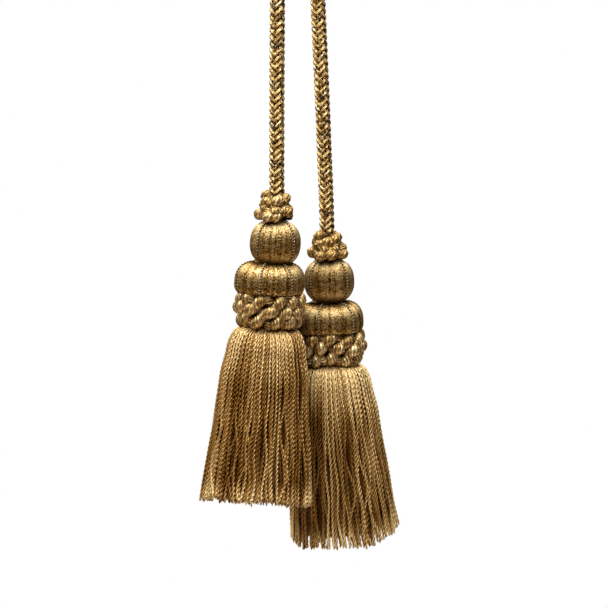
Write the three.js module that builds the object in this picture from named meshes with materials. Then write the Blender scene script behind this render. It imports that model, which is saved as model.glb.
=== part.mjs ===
// Double chair tassel: one braided cord folded over a hook, with a tassel on each end.
// Millimetres, +Z up. The origin is the top of the hanging loop, +X is to the right and
// -Y is the side that faces a viewer. The front tassel hangs at the left, and the back
// tassel hangs at the right, lower and behind it.
//
// Each tassel is made in its own frame: z = 0 is the top of its ruff, and its axis runs
// down -Z through ruff, ball, drum, band and skirt.

import * as THREE from 'three';
import { mergeVertices } from 'three/addons/utils/BufferGeometryUtils.js';

// ---- Driving dimensions ---------------------------------------------------------------

const GAP = 0.3; // air between pieces that touch

const CORD = { diameter: 6.6, sides: 10, steps: 44 };

// The cord's centre line, from the front ruff up its leg, over the loop and down to the
// back ruff. The loop bends at 13 mm, two diameters of a limp cord.
const CORD_ROUTE = [
  [-9.2, -9.5, -120.8], [-9.3, -9.5, -112.0], [-9.2, -9.5, -98.0], [-9.2, -9.5, -84.0],
  [-9.1, -9.5, -68.0], [-9.0, -9.5, -52.0], [-8.9, -9.5, -36.0], [-8.85, -9.5, -26.0],
  [-8.85, -9.5, -16.3], [-7.67, -8.23, -9.8], [-4.43, -4.75, -5.04], [0.0, 0.0, -3.3],
  [4.43, 4.75, -5.04], [7.67, 8.23, -9.8], [8.85, 9.5, -16.3], [8.9, 9.5, -26.0],
  [9.1, 9.5, -38.0], [9.8, 9.5, -54.0], [10.6, 9.5, -72.0], [11.4, 9.5, -90.0],
  [12.0, 9.5, -106.0], [12.6, 9.5, -119.5], [13.0, 9.5, -131.0], [13.2, 9.5, -140.1],
];

// Ruff: three uneven tiers of looped cord, as fractions of its height and widest radius.
const RUFF = { height: 12.5, sides: 36, lobes: 9, lobeDepth: 0.05, tierShift: 2.1 };
const RUFF_TIERS = [
  { down: 0.0, radius: 0.48 },
  { down: 0.16, radius: 0.62 },
  { down: 0.25, radius: 0.6 },
  { down: 0.38, radius: 0.86 },
  { down: 0.55, radius: 0.9 },
  { down: 0.62, radius: 0.86 },
  { down: 0.8, radius: 1.0 },
  { down: 0.94, radius: 0.98 },
  { down: 1.0, radius: 0.86 },
];

// Ball: a superellipse of this power, so that its poles are a little flat.
const BALL = { radius: 11.3, height: 20.7, power: 2.2, sides: 28, rings: 10 };

// Drum: a wide round foot, straight side, round shoulder and a shallow dish on top that
// the ball sits in.
const DRUM = {
  radius: 15.5, crestRadius: 9.3, shoulderHeight: 6.4, sideHeight: 4.8, footWidth: 5.0,
  footHeight: 3.8, sides: 30, curveSteps: 3,
};

// Band: a ring of plaited cord. It has this many bights along each of its two edges, and
// its runs lean by `lean` radians of a bight's turn in each millimetre of height.
const BAND = {
  outer: 15.2, inner: 8.6, bights: 11, plaitDepth: 0.7, edgeWave: 0.56, lean: 0.78, steps: 10,
};

// Skirt: a bound neck inside the band, and the fringe under it, drawn into soft clumps.
const SKIRT = {
  neck: 8.2, hollow: 4.0, hemThickness: 2.2, sides: 40, swayPower: 1.6, clumpDepth: 0.02,
};
const CLUMPS = [
  { waves: 9, share: 0.6, phase: 0.0 },
  { waves: 14, share: 0.4, phase: 1.0 },
];
const SKIRT_PROFILE = [
  { below: 0.0, radius: 13.0 },
  { below: 1.5, radius: 15.0 },
  { below: 4.7, radius: 16.4 },
  { below: 12.8, radius: 18.7 },
  { below: 21.0, radius: 20.4 },
  { below: 30.0, radius: 21.3 },
  { below: 41.0, radius: 22.5 },
  { below: 52.0, radius: 23.9 },
  { below: 62.0, radius: 24.8 },
  { below: 71.0, radius: 25.4 },
  { below: 78.0, radius: 25.8 },
];

// Where the two skirts press on each other: an upright plane through the origin, with
// its normal turned this far from +X towards +Y. `soften` rounds the pressed edge.
const CONTACT = { normalDegrees: 42, clearance: 0.45, soften: 1.2 };

// What differs between the tassels. `tilt` swings the hem towards -X, in degrees. `shift`
// is how far each head piece sits off the axis along X. `sway` moves the hem along X and
// Y. `side` says on which side of the contact plane the tassel hangs. `dish` is how deep
// its drum is dished, and `reach` scales the skirt's length. `hem` lists the waves of the
// uneven cut: waves round the skirt, depth and phase.
const TASSELS = [
  {
    name: 'front', top: [-9.1, -9.5, -121.3], tilt: 4.0, side: -1, ruffRadius: 9.6,
    shift: { ruff: -0.3, ball: 0.7, drum: -0.7 }, dish: 2.1, bandHeight: 13.9, reach: 1.0,
    sway: [0.3, -7.0], turn: 0.4,
    hem: [
      { waves: 1, depth: 0.8, phase: 1.6 },
      { waves: 5, depth: 0.5, phase: 0.3 },
      { waves: 11, depth: 0.5, phase: 2.0 },
    ],
  },
  {
    name: 'back', top: [13.3, 9.5, -140.6], tilt: -2.0, side: 1, ruffRadius: 10.5,
    shift: { ruff: 0.0, ball: 0.1, drum: -0.6 }, dish: 1.1, bandHeight: 12.9, reach: 1.03,
    sway: [3.2, 8.0], turn: 1.3,
    hem: [
      { waves: 1, depth: 2.2, phase: 1.4 },
      { waves: 4, depth: 0.6, phase: 1.1 },
      { waves: 9, depth: 0.5, phase: 0.2 },
    ],
  },
];

/** Works out the heights of one tassel's pieces, down its axis. */
function heights(tassel) {
  const ballTop = -RUFF.height - GAP;
  const dishFloor = ballTop - BALL.height - GAP;
  const sideTop = dishFloor + tassel.dish - DRUM.shoulderHeight;
  const sideFoot = sideTop - DRUM.sideHeight;
  const drumFoot = sideFoot - DRUM.footHeight;
  const bandTop = drumFoot - GAP;
  const bandFoot = bandTop - tassel.bandHeight;
  const shoulder = bandFoot - GAP;
  const skirtLength = tassel.reach * SKIRT_PROFILE[SKIRT_PROFILE.length - 1].below;
  return {
    ballTop, dishFloor, sideTop, sideFoot, drumFoot, bandTop, bandFoot, shoulder, skirtLength,
  };
}

// ---- Helpers ---------------------------------------------------------------------------

const MATERIALS = {
  cord: new THREE.MeshStandardMaterial({ color: 0xa98547, roughness: 0.6, metalness: 0.1 }),
  ply: new THREE.MeshStandardMaterial({ color: 0xc29a57, roughness: 0.55, metalness: 0 }),
  satin: new THREE.MeshStandardMaterial({ color: 0xb48d4b, roughness: 0.4, metalness: 0.1 }),
  fringe: new THREE.MeshStandardMaterial({ color: 0xb08645, roughness: 0.55, metalness: 0 }),
};

/** Turns a profile of (radius, height) points round the Z axis into one closed body. */
function turned(profile, sides) {
  const geometry = new THREE.LatheGeometry(profile, sides);
  geometry.rotateX(Math.PI / 2);
  geometry.deleteAttribute('uv');
  geometry.deleteAttribute('normal');
  return mergeVertices(geometry, 1e-3);
}

/** Moves every vertex of a geometry with `move`, which changes the vector it is given. */
function sculpt(geometry, move) {
  const position = geometry.getAttribute('position');
  const vertex = new THREE.Vector3();
  for (let i = 0; i < position.count; i += 1) {
    vertex.fromBufferAttribute(position, i);
    move(vertex);
    position.setXYZ(i, vertex.x, vertex.y, vertex.z);
  }
  geometry.computeVertexNormals();
  return geometry;
}

/** Gives the azimuth of a vertex round the tassel's axis, in radians. */
function azimuth(vertex) {
  return Math.atan2(vertex.y, vertex.x);
}

/** Moves a vertex straight away from the tassel's axis. */
function swell(vertex, distance) {
  const radius = Math.hypot(vertex.x, vertex.y);
  if (radius < 1e-6) return;
  const factor = (radius + distance) / radius;
  vertex.x *= factor;
  vertex.y *= factor;
}

function named(name, geometry, material) {
  const mesh = new THREE.Mesh(geometry, material);
  mesh.name = name;
  return mesh;
}

// ---- The pieces ------------------------------------------------------------------------

function makeCord() {
  const points = CORD_ROUTE.map(([x, y, z]) => new THREE.Vector3(x, y, z));
  const route = new THREE.CatmullRomCurve3(points, false, 'centripetal');
  const section = new THREE.Shape();
  for (let i = 0; i < CORD.sides; i += 1) {
    const angle = (2 * Math.PI * i) / CORD.sides;
    const x = (CORD.diameter / 2) * Math.cos(angle);
    const y = (CORD.diameter / 2) * Math.sin(angle);
    if (i === 0) section.moveTo(x, y);
    else section.lineTo(x, y);
  }
  section.closePath();
  const geometry = new THREE.ExtrudeGeometry(section, {
    steps: CORD.steps,
    bevelEnabled: false,
    extrudePath: route,
  });
  return named('cord', geometry, MATERIALS.cord);
}

/** Ruff: the tiers turned round the cord, with lobes that shift from tier to tier. */
function makeRuff(tassel) {
  const profile = [new THREE.Vector2(0, 0)];
  for (const { down, radius } of RUFF_TIERS) {
    profile.push(new THREE.Vector2(radius * tassel.ruffRadius, -down * RUFF.height));
  }
  profile.push(new THREE.Vector2(0, -RUFF.height));
  const geometry = sculpt(turned(profile.reverse(), RUFF.sides), (vertex) => {
    const radius = Math.hypot(vertex.x, vertex.y);
    const tier = Math.round((-3 * vertex.z) / RUFF.height);
    const wave = Math.cos(RUFF.lobes * azimuth(vertex) + RUFF.tierShift * tier + tassel.turn);
    swell(vertex, RUFF.lobeDepth * radius * wave);
  });
  return named(`${tassel.name}_ruff`, geometry, MATERIALS.ply);
}

/** Ball: |r / R|^p + |z / H|^p = 1, from the lower pole to the upper one. */
function makeBall(tassel) {
  const half = BALL.height / 2;
  const middle = heights(tassel).ballTop - half;
  const profile = [];
  for (let i = 0; i <= BALL.rings; i += 1) {
    const angle = Math.PI * (i / BALL.rings) - Math.PI / 2;
    const across = Math.abs(Math.cos(angle)) ** (2 / BALL.power);
    const along = Math.sign(angle) * Math.abs(Math.sin(angle)) ** (2 / BALL.power);
    const onAxis = i === 0 || i === BALL.rings;
    profile.push(new THREE.Vector2(onAxis ? 0 : BALL.radius * across, middle + half * along));
  }
  return named(`${tassel.name}_ball`, turned(profile, BALL.sides), MATERIALS.satin);
}

/** Drum: round foot, straight side, round shoulder and dished top. */
function makeDrum(tassel) {
  const outline = new THREE.Path();
  const { radius, crestRadius, footWidth, footHeight, shoulderHeight } = DRUM;
  const { drumFoot, sideFoot, sideTop, dishFloor } = heights(tassel);
  const flat = radius - footWidth;
  outline.moveTo(0, drumFoot);
  outline.lineTo(flat, drumFoot);
  outline.absellipse(flat, sideFoot, footWidth, footHeight, -Math.PI / 2, 0, false);
  outline.lineTo(radius, sideTop);
  const width = radius - crestRadius;
  outline.absellipse(crestRadius, sideTop, width, shoulderHeight, 0, Math.PI / 2, false);
  outline.quadraticCurveTo(crestRadius / 2, dishFloor, 0, dishFloor);
  const profile = outline.getPoints(DRUM.curveSteps);
  profile[profile.length - 1].x = 0;
  return named(`${tassel.name}_drum`, turned(profile, DRUM.sides), MATERIALS.satin);
}

/** Band: a ring whose outer face carries the slanting ridges of a plait. */
function makeBand(tassel) {
  const { bandTop, bandFoot } = heights(tassel);
  const middle = (bandTop + bandFoot) / 2;
  const half = tassel.bandHeight / 2;
  const width = (BAND.outer - BAND.inner) / 2;
  const profile = [];
  for (let i = 0; i <= BAND.steps; i += 1) {
    const angle = (2 * Math.PI * (i % BAND.steps)) / BAND.steps - Math.PI;
    const across = Math.sign(Math.cos(angle)) * Math.sqrt(Math.abs(Math.cos(angle)));
    const along = Math.sign(Math.sin(angle)) * Math.sqrt(Math.abs(Math.sin(angle)));
    const radius = BAND.inner + width * (1 + across);
    profile.push(new THREE.Vector2(radius, middle + (half - BAND.plaitDepth) * along));
  }
  const geometry = sculpt(turned(profile, 4 * BAND.bights), (vertex) => {
    const radius = Math.hypot(vertex.x, vertex.y);
    const outerness = (radius - BAND.inner) / (BAND.outer - BAND.inner);
    const height = vertex.z - middle;
    const slant = azimuth(vertex) * BAND.bights - BAND.lean * height + tassel.turn;
    swell(vertex, BAND.plaitDepth * outerness * Math.cos(slant));
    vertex.z += BAND.edgeWave * (height / half) * outerness * Math.cos(slant);
  });
  return named(`${tassel.name}_band`, geometry, MATERIALS.ply);
}

/** Distance along the contact plane's normal, positive on the back tassel's side. */
function beyondContact(point) {
  const turn = THREE.MathUtils.degToRad(CONTACT.normalDegrees);
  return point.x * Math.cos(turn) + point.y * Math.sin(turn);
}

/** Presses a point of a skirt softly back onto its own side of the contact plane. */
function pressBack(point, side) {
  const turn = THREE.MathUtils.degToRad(CONTACT.normalDegrees);
  const inside = side * beyondContact(point);
  const spare = (inside - CONTACT.clearance) / CONTACT.soften;
  const kept = CONTACT.clearance + CONTACT.soften * Math.log1p(Math.exp(spare));
  const push = side * (spare > 30 ? 0 : kept - inside);
  point.x += push * Math.cos(turn);
  point.y += push * Math.sin(turn);
}

/** Height of the cut edge above (+) or below (-) its mean, at one azimuth. */
function hemDrop(tassel, angle) {
  let drop = 0;
  for (const { waves, depth, phase } of tassel.hem) drop += depth * Math.cos(waves * angle + phase);
  return drop;
}

/** How far the fringe bulges (+) or draws in (-) at one azimuth, from about 1 to -1. */
function clump(tassel, angle) {
  let bulge = 0;
  for (const { waves, share, phase } of CLUMPS) {
    bulge += share * Math.cos(waves * (angle + tassel.turn) + phase);
  }
  return bulge;
}

/** Skirt: neck, shoulder, fringe with soft clumps, an uneven hem and a hollow underside. */
function makeSkirt(tassel, toWorld) {
  const { bandTop, shoulder, skirtLength } = heights(tassel);
  const hem = shoulder - skirtLength;
  const hemRadius = SKIRT_PROFILE[SKIRT_PROFILE.length - 1].radius;
  const profile = [
    new THREE.Vector2(0, hem + SKIRT.hollow),
    new THREE.Vector2(hemRadius * 0.55, hem + 0.7 * SKIRT.hollow),
    new THREE.Vector2(hemRadius - SKIRT.hemThickness, hem + 0.2 * SKIRT.hollow),
  ];
  for (const { below, radius } of [...SKIRT_PROFILE].reverse()) {
    profile.push(new THREE.Vector2(radius, shoulder - tassel.reach * below));
  }
  profile.push(new THREE.Vector2(SKIRT.neck, shoulder));
  profile.push(new THREE.Vector2(SKIRT.neck, bandTop));
  profile.push(new THREE.Vector2(0, bandTop));

  const toLocal = toWorld.clone().invert();
  const geometry = sculpt(turned(profile, SKIRT.sides), (vertex) => {
    const below = shoulder - vertex.z;
    if (below <= 0) return;
    const part = Math.min(below / skirtLength, 1);
    const angle = azimuth(vertex);
    const radius = Math.hypot(vertex.x, vertex.y);
    swell(vertex, SKIRT.clumpDepth * radius * Math.sqrt(part) * (clump(tassel, angle) - 1));
    vertex.z += hemDrop(tassel, angle) * part ** 4;
    const [swayX, swayY] = tassel.sway;
    const shift = part ** SKIRT.swayPower;
    const slope = (SKIRT.swayPower * part ** (SKIRT.swayPower - 1)) / skirtLength;
    vertex.z += slope * (swayX * vertex.x + swayY * vertex.y);
    vertex.x += swayX * shift;
    vertex.y += swayY * shift;
    vertex.applyMatrix4(toWorld);
    pressBack(vertex, tassel.side);
    vertex.applyMatrix4(toLocal);
  });
  return named(`${tassel.name}_skirt`, geometry, MATERIALS.fringe);
}

/** One tassel: its pieces on one axis, hung from the top of its ruff. */
function makeTassel(tassel) {
  const group = new THREE.Group();
  group.position.set(...tassel.top);
  group.rotation.y = THREE.MathUtils.degToRad(tassel.tilt);
  group.updateMatrixWorld(true);

  const ruff = makeRuff(tassel);
  const ball = makeBall(tassel);
  const drum = makeDrum(tassel);
  ruff.position.x = tassel.shift.ruff;
  ball.position.x = tassel.shift.ball;
  drum.position.x = tassel.shift.drum;
  group.add(ruff, ball, drum, makeBand(tassel), makeSkirt(tassel, group.matrixWorld));
  return group;
}

const chairTassel = new THREE.Group();
chairTassel.add(makeCord());
for (const tassel of TASSELS) chairTassel.add(makeTassel(tassel));

export default chairTassel;
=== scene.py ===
"""Looks of a double chair tassel: one braided cord with a tassel on each end.

Each tassel has a plaited ruff, a thread-wound ball and drum, a plaited band and a fringe
skirt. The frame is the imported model's, in metres with +Z up. Shapes are worked out in
millimetres as numpy arrays and turned into metres when their mesh is made.
"""

import logging
import math
from dataclasses import dataclass, field
from enum import Enum
from functools import cache

import bpy
import numpy as np
from bpy.types import Material, Node, NodeSocket
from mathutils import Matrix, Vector


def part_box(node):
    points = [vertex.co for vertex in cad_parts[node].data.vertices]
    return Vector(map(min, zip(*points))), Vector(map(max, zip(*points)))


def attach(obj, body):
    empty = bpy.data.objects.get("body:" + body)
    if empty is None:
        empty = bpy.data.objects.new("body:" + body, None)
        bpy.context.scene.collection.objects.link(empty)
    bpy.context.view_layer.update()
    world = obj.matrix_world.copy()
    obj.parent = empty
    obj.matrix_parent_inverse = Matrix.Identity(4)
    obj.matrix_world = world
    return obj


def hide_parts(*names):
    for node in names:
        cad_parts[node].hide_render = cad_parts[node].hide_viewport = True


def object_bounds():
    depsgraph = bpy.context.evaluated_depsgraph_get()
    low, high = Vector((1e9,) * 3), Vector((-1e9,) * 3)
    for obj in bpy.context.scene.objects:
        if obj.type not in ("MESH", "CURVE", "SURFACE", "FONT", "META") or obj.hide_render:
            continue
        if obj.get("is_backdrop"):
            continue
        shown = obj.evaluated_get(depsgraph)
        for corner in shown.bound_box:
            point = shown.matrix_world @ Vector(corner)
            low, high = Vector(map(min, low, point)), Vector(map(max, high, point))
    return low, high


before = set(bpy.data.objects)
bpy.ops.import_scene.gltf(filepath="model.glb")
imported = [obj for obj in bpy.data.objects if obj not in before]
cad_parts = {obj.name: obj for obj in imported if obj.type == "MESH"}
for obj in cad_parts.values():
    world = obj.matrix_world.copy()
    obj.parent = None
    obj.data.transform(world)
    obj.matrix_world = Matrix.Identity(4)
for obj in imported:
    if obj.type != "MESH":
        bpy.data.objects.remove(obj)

log = logging.getLogger("chair_tassel")

MM = 0.001
TAU = 2 * math.pi
GAP = 0.3  # Between neighbouring solids, in millimetres.

Colour = tuple[float, float, float]
Pair = tuple[float, float]
Curve = tuple[Pair, ...]
Array = np.ndarray
Values = Array | float
Waves = tuple[tuple[int, float, float], ...]


class Slot(Enum):
    """The record's material slots."""

    BRAID = "braided_cord"
    PLAIT = "twisted_cord"
    SATIN = "satin_winding"
    FRINGE = "fringe_yarn"


# ---- Meshes ----


@dataclass
class Shell:
    """A mesh in millimetres and what its materials read.

    points is (points, 3). faces holds arrays of point numbers, each (faces, 3 or 4), and
    uv the matching (faces, 3 or 4, 2). finish is one material number for each face, and
    tone and warm are one value for each point. warm is the share of the dark colour that
    paints shade into crevices.
    """

    points: Array
    faces: list[Array]
    uv: list[Array]
    finish: Array
    tone: Array
    warm: Array


def joined(*shells: Shell) -> Shell:
    """Joins shells into one, with each one's point numbers moved up.

    Args:
        *shells: The shells, in order.

    Returns:
        The one shell.
    """
    starts = np.cumsum([0] + [len(shell.points) for shell in shells])
    faces = [face + start for shell, start in zip(shells, starts) for face in shell.faces]
    uv = [part for shell in shells for part in shell.uv]
    values = [[getattr(shell, name) for shell in shells] for name in ("finish", "tone", "warm")]
    points = np.concatenate([shell.points for shell in shells])
    return Shell(points, faces, uv, *(np.concatenate(value) for value in values))


def make_piece(name: str, shell: Shell, slot: Slot, node: str = "") -> bpy.types.Object:
    """Puts a shell into Blender as one smooth-shaded piece that rides on the root body.

    Args:
        name: The piece's name.
        shell: Its mesh in millimetres.
        slot: The record's material slot that it takes its materials from.
        node: The CAD node that it stands for, if any.

    Returns:
        The new object, at the origin.
    """
    mesh = bpy.data.meshes.new(name)
    corners = np.concatenate([face.reshape(-1) for face in shell.faces])
    sizes = np.concatenate([np.full(len(face), face.shape[1]) for face in shell.faces])
    uv = np.concatenate([part.reshape(-1) for part in shell.uv])
    mesh.vertices.add(len(shell.points))
    mesh.vertices.foreach_set("co", (shell.points * MM).astype(np.float32).ravel())
    mesh.loops.add(len(corners))
    mesh.loops.foreach_set("vertex_index", corners.astype(np.int32))
    mesh.polygons.add(len(sizes))
    mesh.polygons.foreach_set("loop_start", (np.cumsum(sizes) - sizes).astype(np.int32))
    mesh.polygons.foreach_set("use_smooth", np.ones(len(sizes), bool))
    mesh.polygons.foreach_set("material_index", shell.finish.astype(np.int32))
    mesh.uv_layers.new(name="thread").uv.foreach_set("vector", uv.astype(np.float32))
    for label in ("tone", "warm"):
        layer = mesh.attributes.new(label, "FLOAT", "POINT")
        layer.data.foreach_set("value", getattr(shell, label).astype(np.float32))
    for material in materials(slot):
        mesh.materials.append(material)
    mesh.update(calc_edges=True)
    mesh.validate()
    piece = bpy.data.objects.new(name, mesh)
    bpy.context.scene.collection.objects.link(piece)
    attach(piece, "root")
    if node:
        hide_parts(node)
    log.info("%s: %d triangles", name, (sizes - 2).sum())
    return piece


def unit(vectors: Array) -> Array:
    """Returns each vector divided by its length."""
    return vectors / np.linalg.norm(vectors, axis=-1, keepdims=True)


def polar(azimuth: Values, radius: Values = 1.0, height: Values = 0.0) -> Array:
    """Returns the points (radius cos, radius sin, height), spread to one shape."""
    parts = (radius * np.cos(azimuth), radius * np.sin(azimuth), height)
    return np.stack(np.broadcast_arrays(*parts), -1)


def around(count: int) -> Array:
    """Returns the angles of count points spaced evenly round a turn, in radians."""
    return TAU * np.arange(count) / count


def travelled(points: Array) -> Array:
    """Returns how far along a line of points each of them lies."""
    return np.concatenate([[0], np.cumsum(np.linalg.norm(np.diff(points, axis=0), axis=1))])


def corner_uv(*corners: tuple[Array, Array]) -> Array:
    """Returns the uv of a grid of faces, (faces, corners, 2), from each corner's u and v."""
    pairs = [np.stack(np.broadcast_arrays(*corner), -1) for corner in corners]
    return np.stack(pairs, -2).reshape(-1, len(corners), 2)


def tubes(
    points: Array,
    ends: Array | None,
    along: Array,
    tone: Values,
    warm: Values = 0.0,
    finish: Array | int = 0,
) -> Shell:
    """Joins rings of points into closed tubes.

    Quads join each ring to the next. Fans of triangles close the first and the last ring
    of an open tube to its end points, which have the mean tone of their ring.

    Args:
        points: The rings, (tubes, rings, sides, 3).
        ends: End points of open tubes, (tubes, 2, 3). None joins the last ring to the first.
        along: The pattern's place at each ring, which can be spread to (tubes, rings).
        tone: Lightness of the yarn, which can be spread to (tubes, rings, sides).
        warm: Share of the dark colour that paints shade into crevices, likewise.
        finish: Material number of each tube, or of all of them.

    Returns:
        The tubes as one shell. Its uv is (along, part of the way round the ring).
    """
    shape = points.shape[:3]
    number = np.arange(math.prod(shape)).reshape(shape)
    along = np.broadcast_to(along, shape[:2])
    if ends is None:
        here, ahead = number, np.roll(number, -1, 1)
        along = np.concatenate([along, 2 * along[:, -1:] - along[:, -2:-1]], axis=1)
    else:
        here, ahead = number[:, :-1], number[:, 1:]
    faces = [np.stack([here, np.roll(here, -1, 2), np.roll(ahead, -1, 2), ahead], -1)]
    left, right = np.arange(shape[2]) / shape[2], np.arange(1, shape[2] + 1) / shape[2]
    low, high = along[:, :-1, None], along[:, 1:, None]
    uv = [corner_uv((low, left), (low, right), (high, right), (high, left))]
    values = [np.broadcast_to(np.asarray(value, float), shape) for value in (tone, warm)]
    flat = [value.reshape(-1) for value in values]
    points = points.reshape(-1, 3)
    if ends is not None:
        pole = number.size + np.arange(2 * shape[0]).reshape(-1, 2, 1)
        for end, turn in ((0, 1), (-1, -1)):
            rim = number[:, end]
            edge = (np.roll(rim, -1, 1), rim)[::turn]
            faces.append(np.stack(np.broadcast_arrays(pole[:, end], *edge), -1))
            mark = along[:, end, None]
            uv.append(corner_uv((mark, left), (mark, right), (mark, left)))
        points = np.concatenate([points, ends.reshape(-1, 3)])
        closing = [value[:, [0, -1]].mean(-1).reshape(-1) for value in values]
        flat = [np.concatenate(pair) for pair in zip(flat, closing)]
    finish = np.broadcast_to(finish, shape[:1])
    numbers = [np.repeat(finish, part[0].size // part.shape[-1]) for part in faces]
    faces = [part.reshape(-1, part.shape[-1]) for part in faces]
    return Shell(points, faces, uv, np.concatenate(numbers), *flat)


def swept(
    line: Array, outward: Array, section: Array, looped: bool = False, tip: float = 0.0
) -> tuple[Array, Array | None]:
    """Carries a closed section along each of several lines.

    A point is line + x * u + y * v. Here u is `outward` with its part along the line
    taken away, v is the line's direction crossed with u, and (x, y) is the section.

    Args:
        line: Centre lines, (lines, rings, 3).
        outward: Directions that the section's x points to, as wide as line.
        section: Offsets in the section, which can be spread to (lines, rings, sides, 2).
        looped: Whether the last ring joins the first.
        tip: How far the end points stand beyond an open line, in millimetres.

    Returns:
        The rings and the end points that tubes() takes.
    """
    if looped:
        tangent = unit(np.roll(line, -1, axis=1) - np.roll(line, 1, axis=1))
    else:
        tangent = unit(np.gradient(line, axis=1))
    u = unit(outward - np.sum(outward * tangent, axis=-1, keepdims=True) * tangent)
    v = np.cross(tangent, u)
    points = line[:, :, None] + section[..., :1] * u[:, :, None] + section[..., 1:] * v[:, :, None]
    ends = line[:, [0, -1]] + tip * tangent[:, [0, -1]] * np.array([[-1], [1]])
    return points, None if looped else ends


def body(points: Array, ends: Array, up: Array, tone: Values, warm: Values) -> Shell:
    """Closes a body of level rings that start at its foot.

    Args:
        points: The rings, (rings, columns, 3).
        ends: The two poles, (2, 3).
        up: How far up the profile each ring is, (rings,).
        tone: Lightness of the yarn, which can be spread to (rings, columns).
        warm: Share of the dark colour that paints shade into crevices, likewise.

    Returns:
        The body. Its uv is (part of the way round, up).
    """
    shell = tubes(points[None], ends[None], up, tone, warm)
    shell.uv = [uv[..., ::-1] for uv in shell.uv]
    return shell


def lathe(
    radius: Array,
    height: Array,
    columns: int,
    lift: Values = 0.0,
    tone: Values = 0.5,
    warm: Values = 0.0,
) -> Shell:
    """Turns a profile round the Z axis into one closed body.

    A point at azimuth a is ((radius + lift) cos a, (radius + lift) sin a, height), and the
    two poles lie on the axis.

    Args:
        radius: Distance from the axis at each row, (rows,).
        height: Height of each row, (rows,).
        columns: Points round the body.
        lift: Extra distance from the axis, which can be spread to (rows, columns).
        tone: Lightness, likewise.
        warm: Share of the dark colour that paints shade into crevices, likewise.

    Returns:
        The body.
    """
    points = polar(around(columns), radius[:, None] + lift, height[:, None])
    ends = polar(0.0, 0.0, height[[0, -1]])
    return body(points, ends, travelled(np.stack([radius, height], -1)), tone, warm)


def smooth_step(value: Array, start: float, stop: float) -> Array:
    """Returns 0 below start, 1 above stop, and 3t^2 - 2t^3 between them."""
    part = np.clip((value - start) / (stop - start), 0, 1)
    return part * part * (3 - 2 * part)


def hermite(part: Array, start: Values, leave: Values, stop: Values, arrive: Values) -> Array:
    """Works out a cubic from its ends and the slopes there.

    With e = 3t^2 - 2t^3 it is (1 - e) * start + e * stop + (t^3 - 2t^2 + t) * leave
    + (t^3 - t^2) * arrive.

    Args:
        part: Where to read it: t, from 0 at the start to 1 at the stop.
        start: Value at the start.
        leave: Slope at the start.
        stop: Value at the stop.
        arrive: Slope at the stop.

    Returns:
        The cubic's values.
    """
    square, cube = part**2, part**3
    ahead = 3 * square - 2 * cube
    curve = (1 - ahead) * start + ahead * stop
    return curve + (cube - 2 * square + part) * leave + (cube - square) * arrive


def smooth_curve(value: Array, knots: Array, heights: Array) -> Array:
    """Works out the cubic Hermite curve through the knots, straight beyond the last one.

    The knots' slopes come from their neighbours on both sides.

    Args:
        value: Where to read the curve.
        knots: Places of the knots, rising.
        heights: The curve's value at each knot.

    Returns:
        The curve's values.
    """
    slopes = np.gradient(heights, knots)
    at = np.clip(np.searchsorted(knots, value) - 1, 0, len(knots) - 2)
    width = knots[at + 1] - knots[at]
    part = np.clip((value - knots[at]) / width, 0, 1)
    curve = hermite(part, heights[at], width * slopes[at], heights[at + 1], width * slopes[at + 1])
    return curve + np.maximum(value - knots[-1], 0) * slopes[-1]


def ripple(place: Array, waves: tuple[int, ...], rng: np.random.Generator) -> Array:
    """Works out a random sum of sines.

    Args:
        place: Where to read it, in radians.
        waves: Whole number of waves in a turn, for each sine.
        rng: Gives their phases.

    Returns:
        The sum, of about unit size.
    """
    total = sum(np.sin(count * place + rng.uniform(0, TAU)) for count in waves)
    return math.sqrt(2 / len(waves)) * total


def ply_section(plies: int, sides: int, depth: float) -> Array:
    """Works out the section of a plied cord of radius 1.

    The radius is 1 - depth * (1 - |cos(plies * a / 2)|^0.8): a round crest on each ply and
    a sharp furrow between two plies.

    Args:
        plies: How many plies.
        sides: Points round the section.
        depth: Depth of the furrows.

    Returns:
        The section, (sides, 2).
    """
    angle = around(sides)
    radius = 1 - depth * (1 - np.abs(np.cos(plies * angle / 2)) ** 0.8)
    return polar(angle, radius)[:, :2]


def wave_sum(waves: Waves, angle: Array) -> Array:
    """Returns the sum of size * cos(count * angle + phase) over (count, size, phase)."""
    return sum(size * np.cos(count * angle + phase) for count, size, phase in waves)


def turned_section(section: Array, angle: Array) -> Array:
    """Turns a section by each of several angles.

    Args:
        section: The section, (sides, 2).
        angle: The angles, in radians.

    Returns:
        The turned sections, (*angle.shape, sides, 2).
    """
    cos, sin = np.cos(angle)[..., None], np.sin(angle)[..., None]
    x, y = section.T
    return np.stack([cos * x - sin * y, sin * x + cos * y], -1)


# ---- Finishes ----


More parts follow.
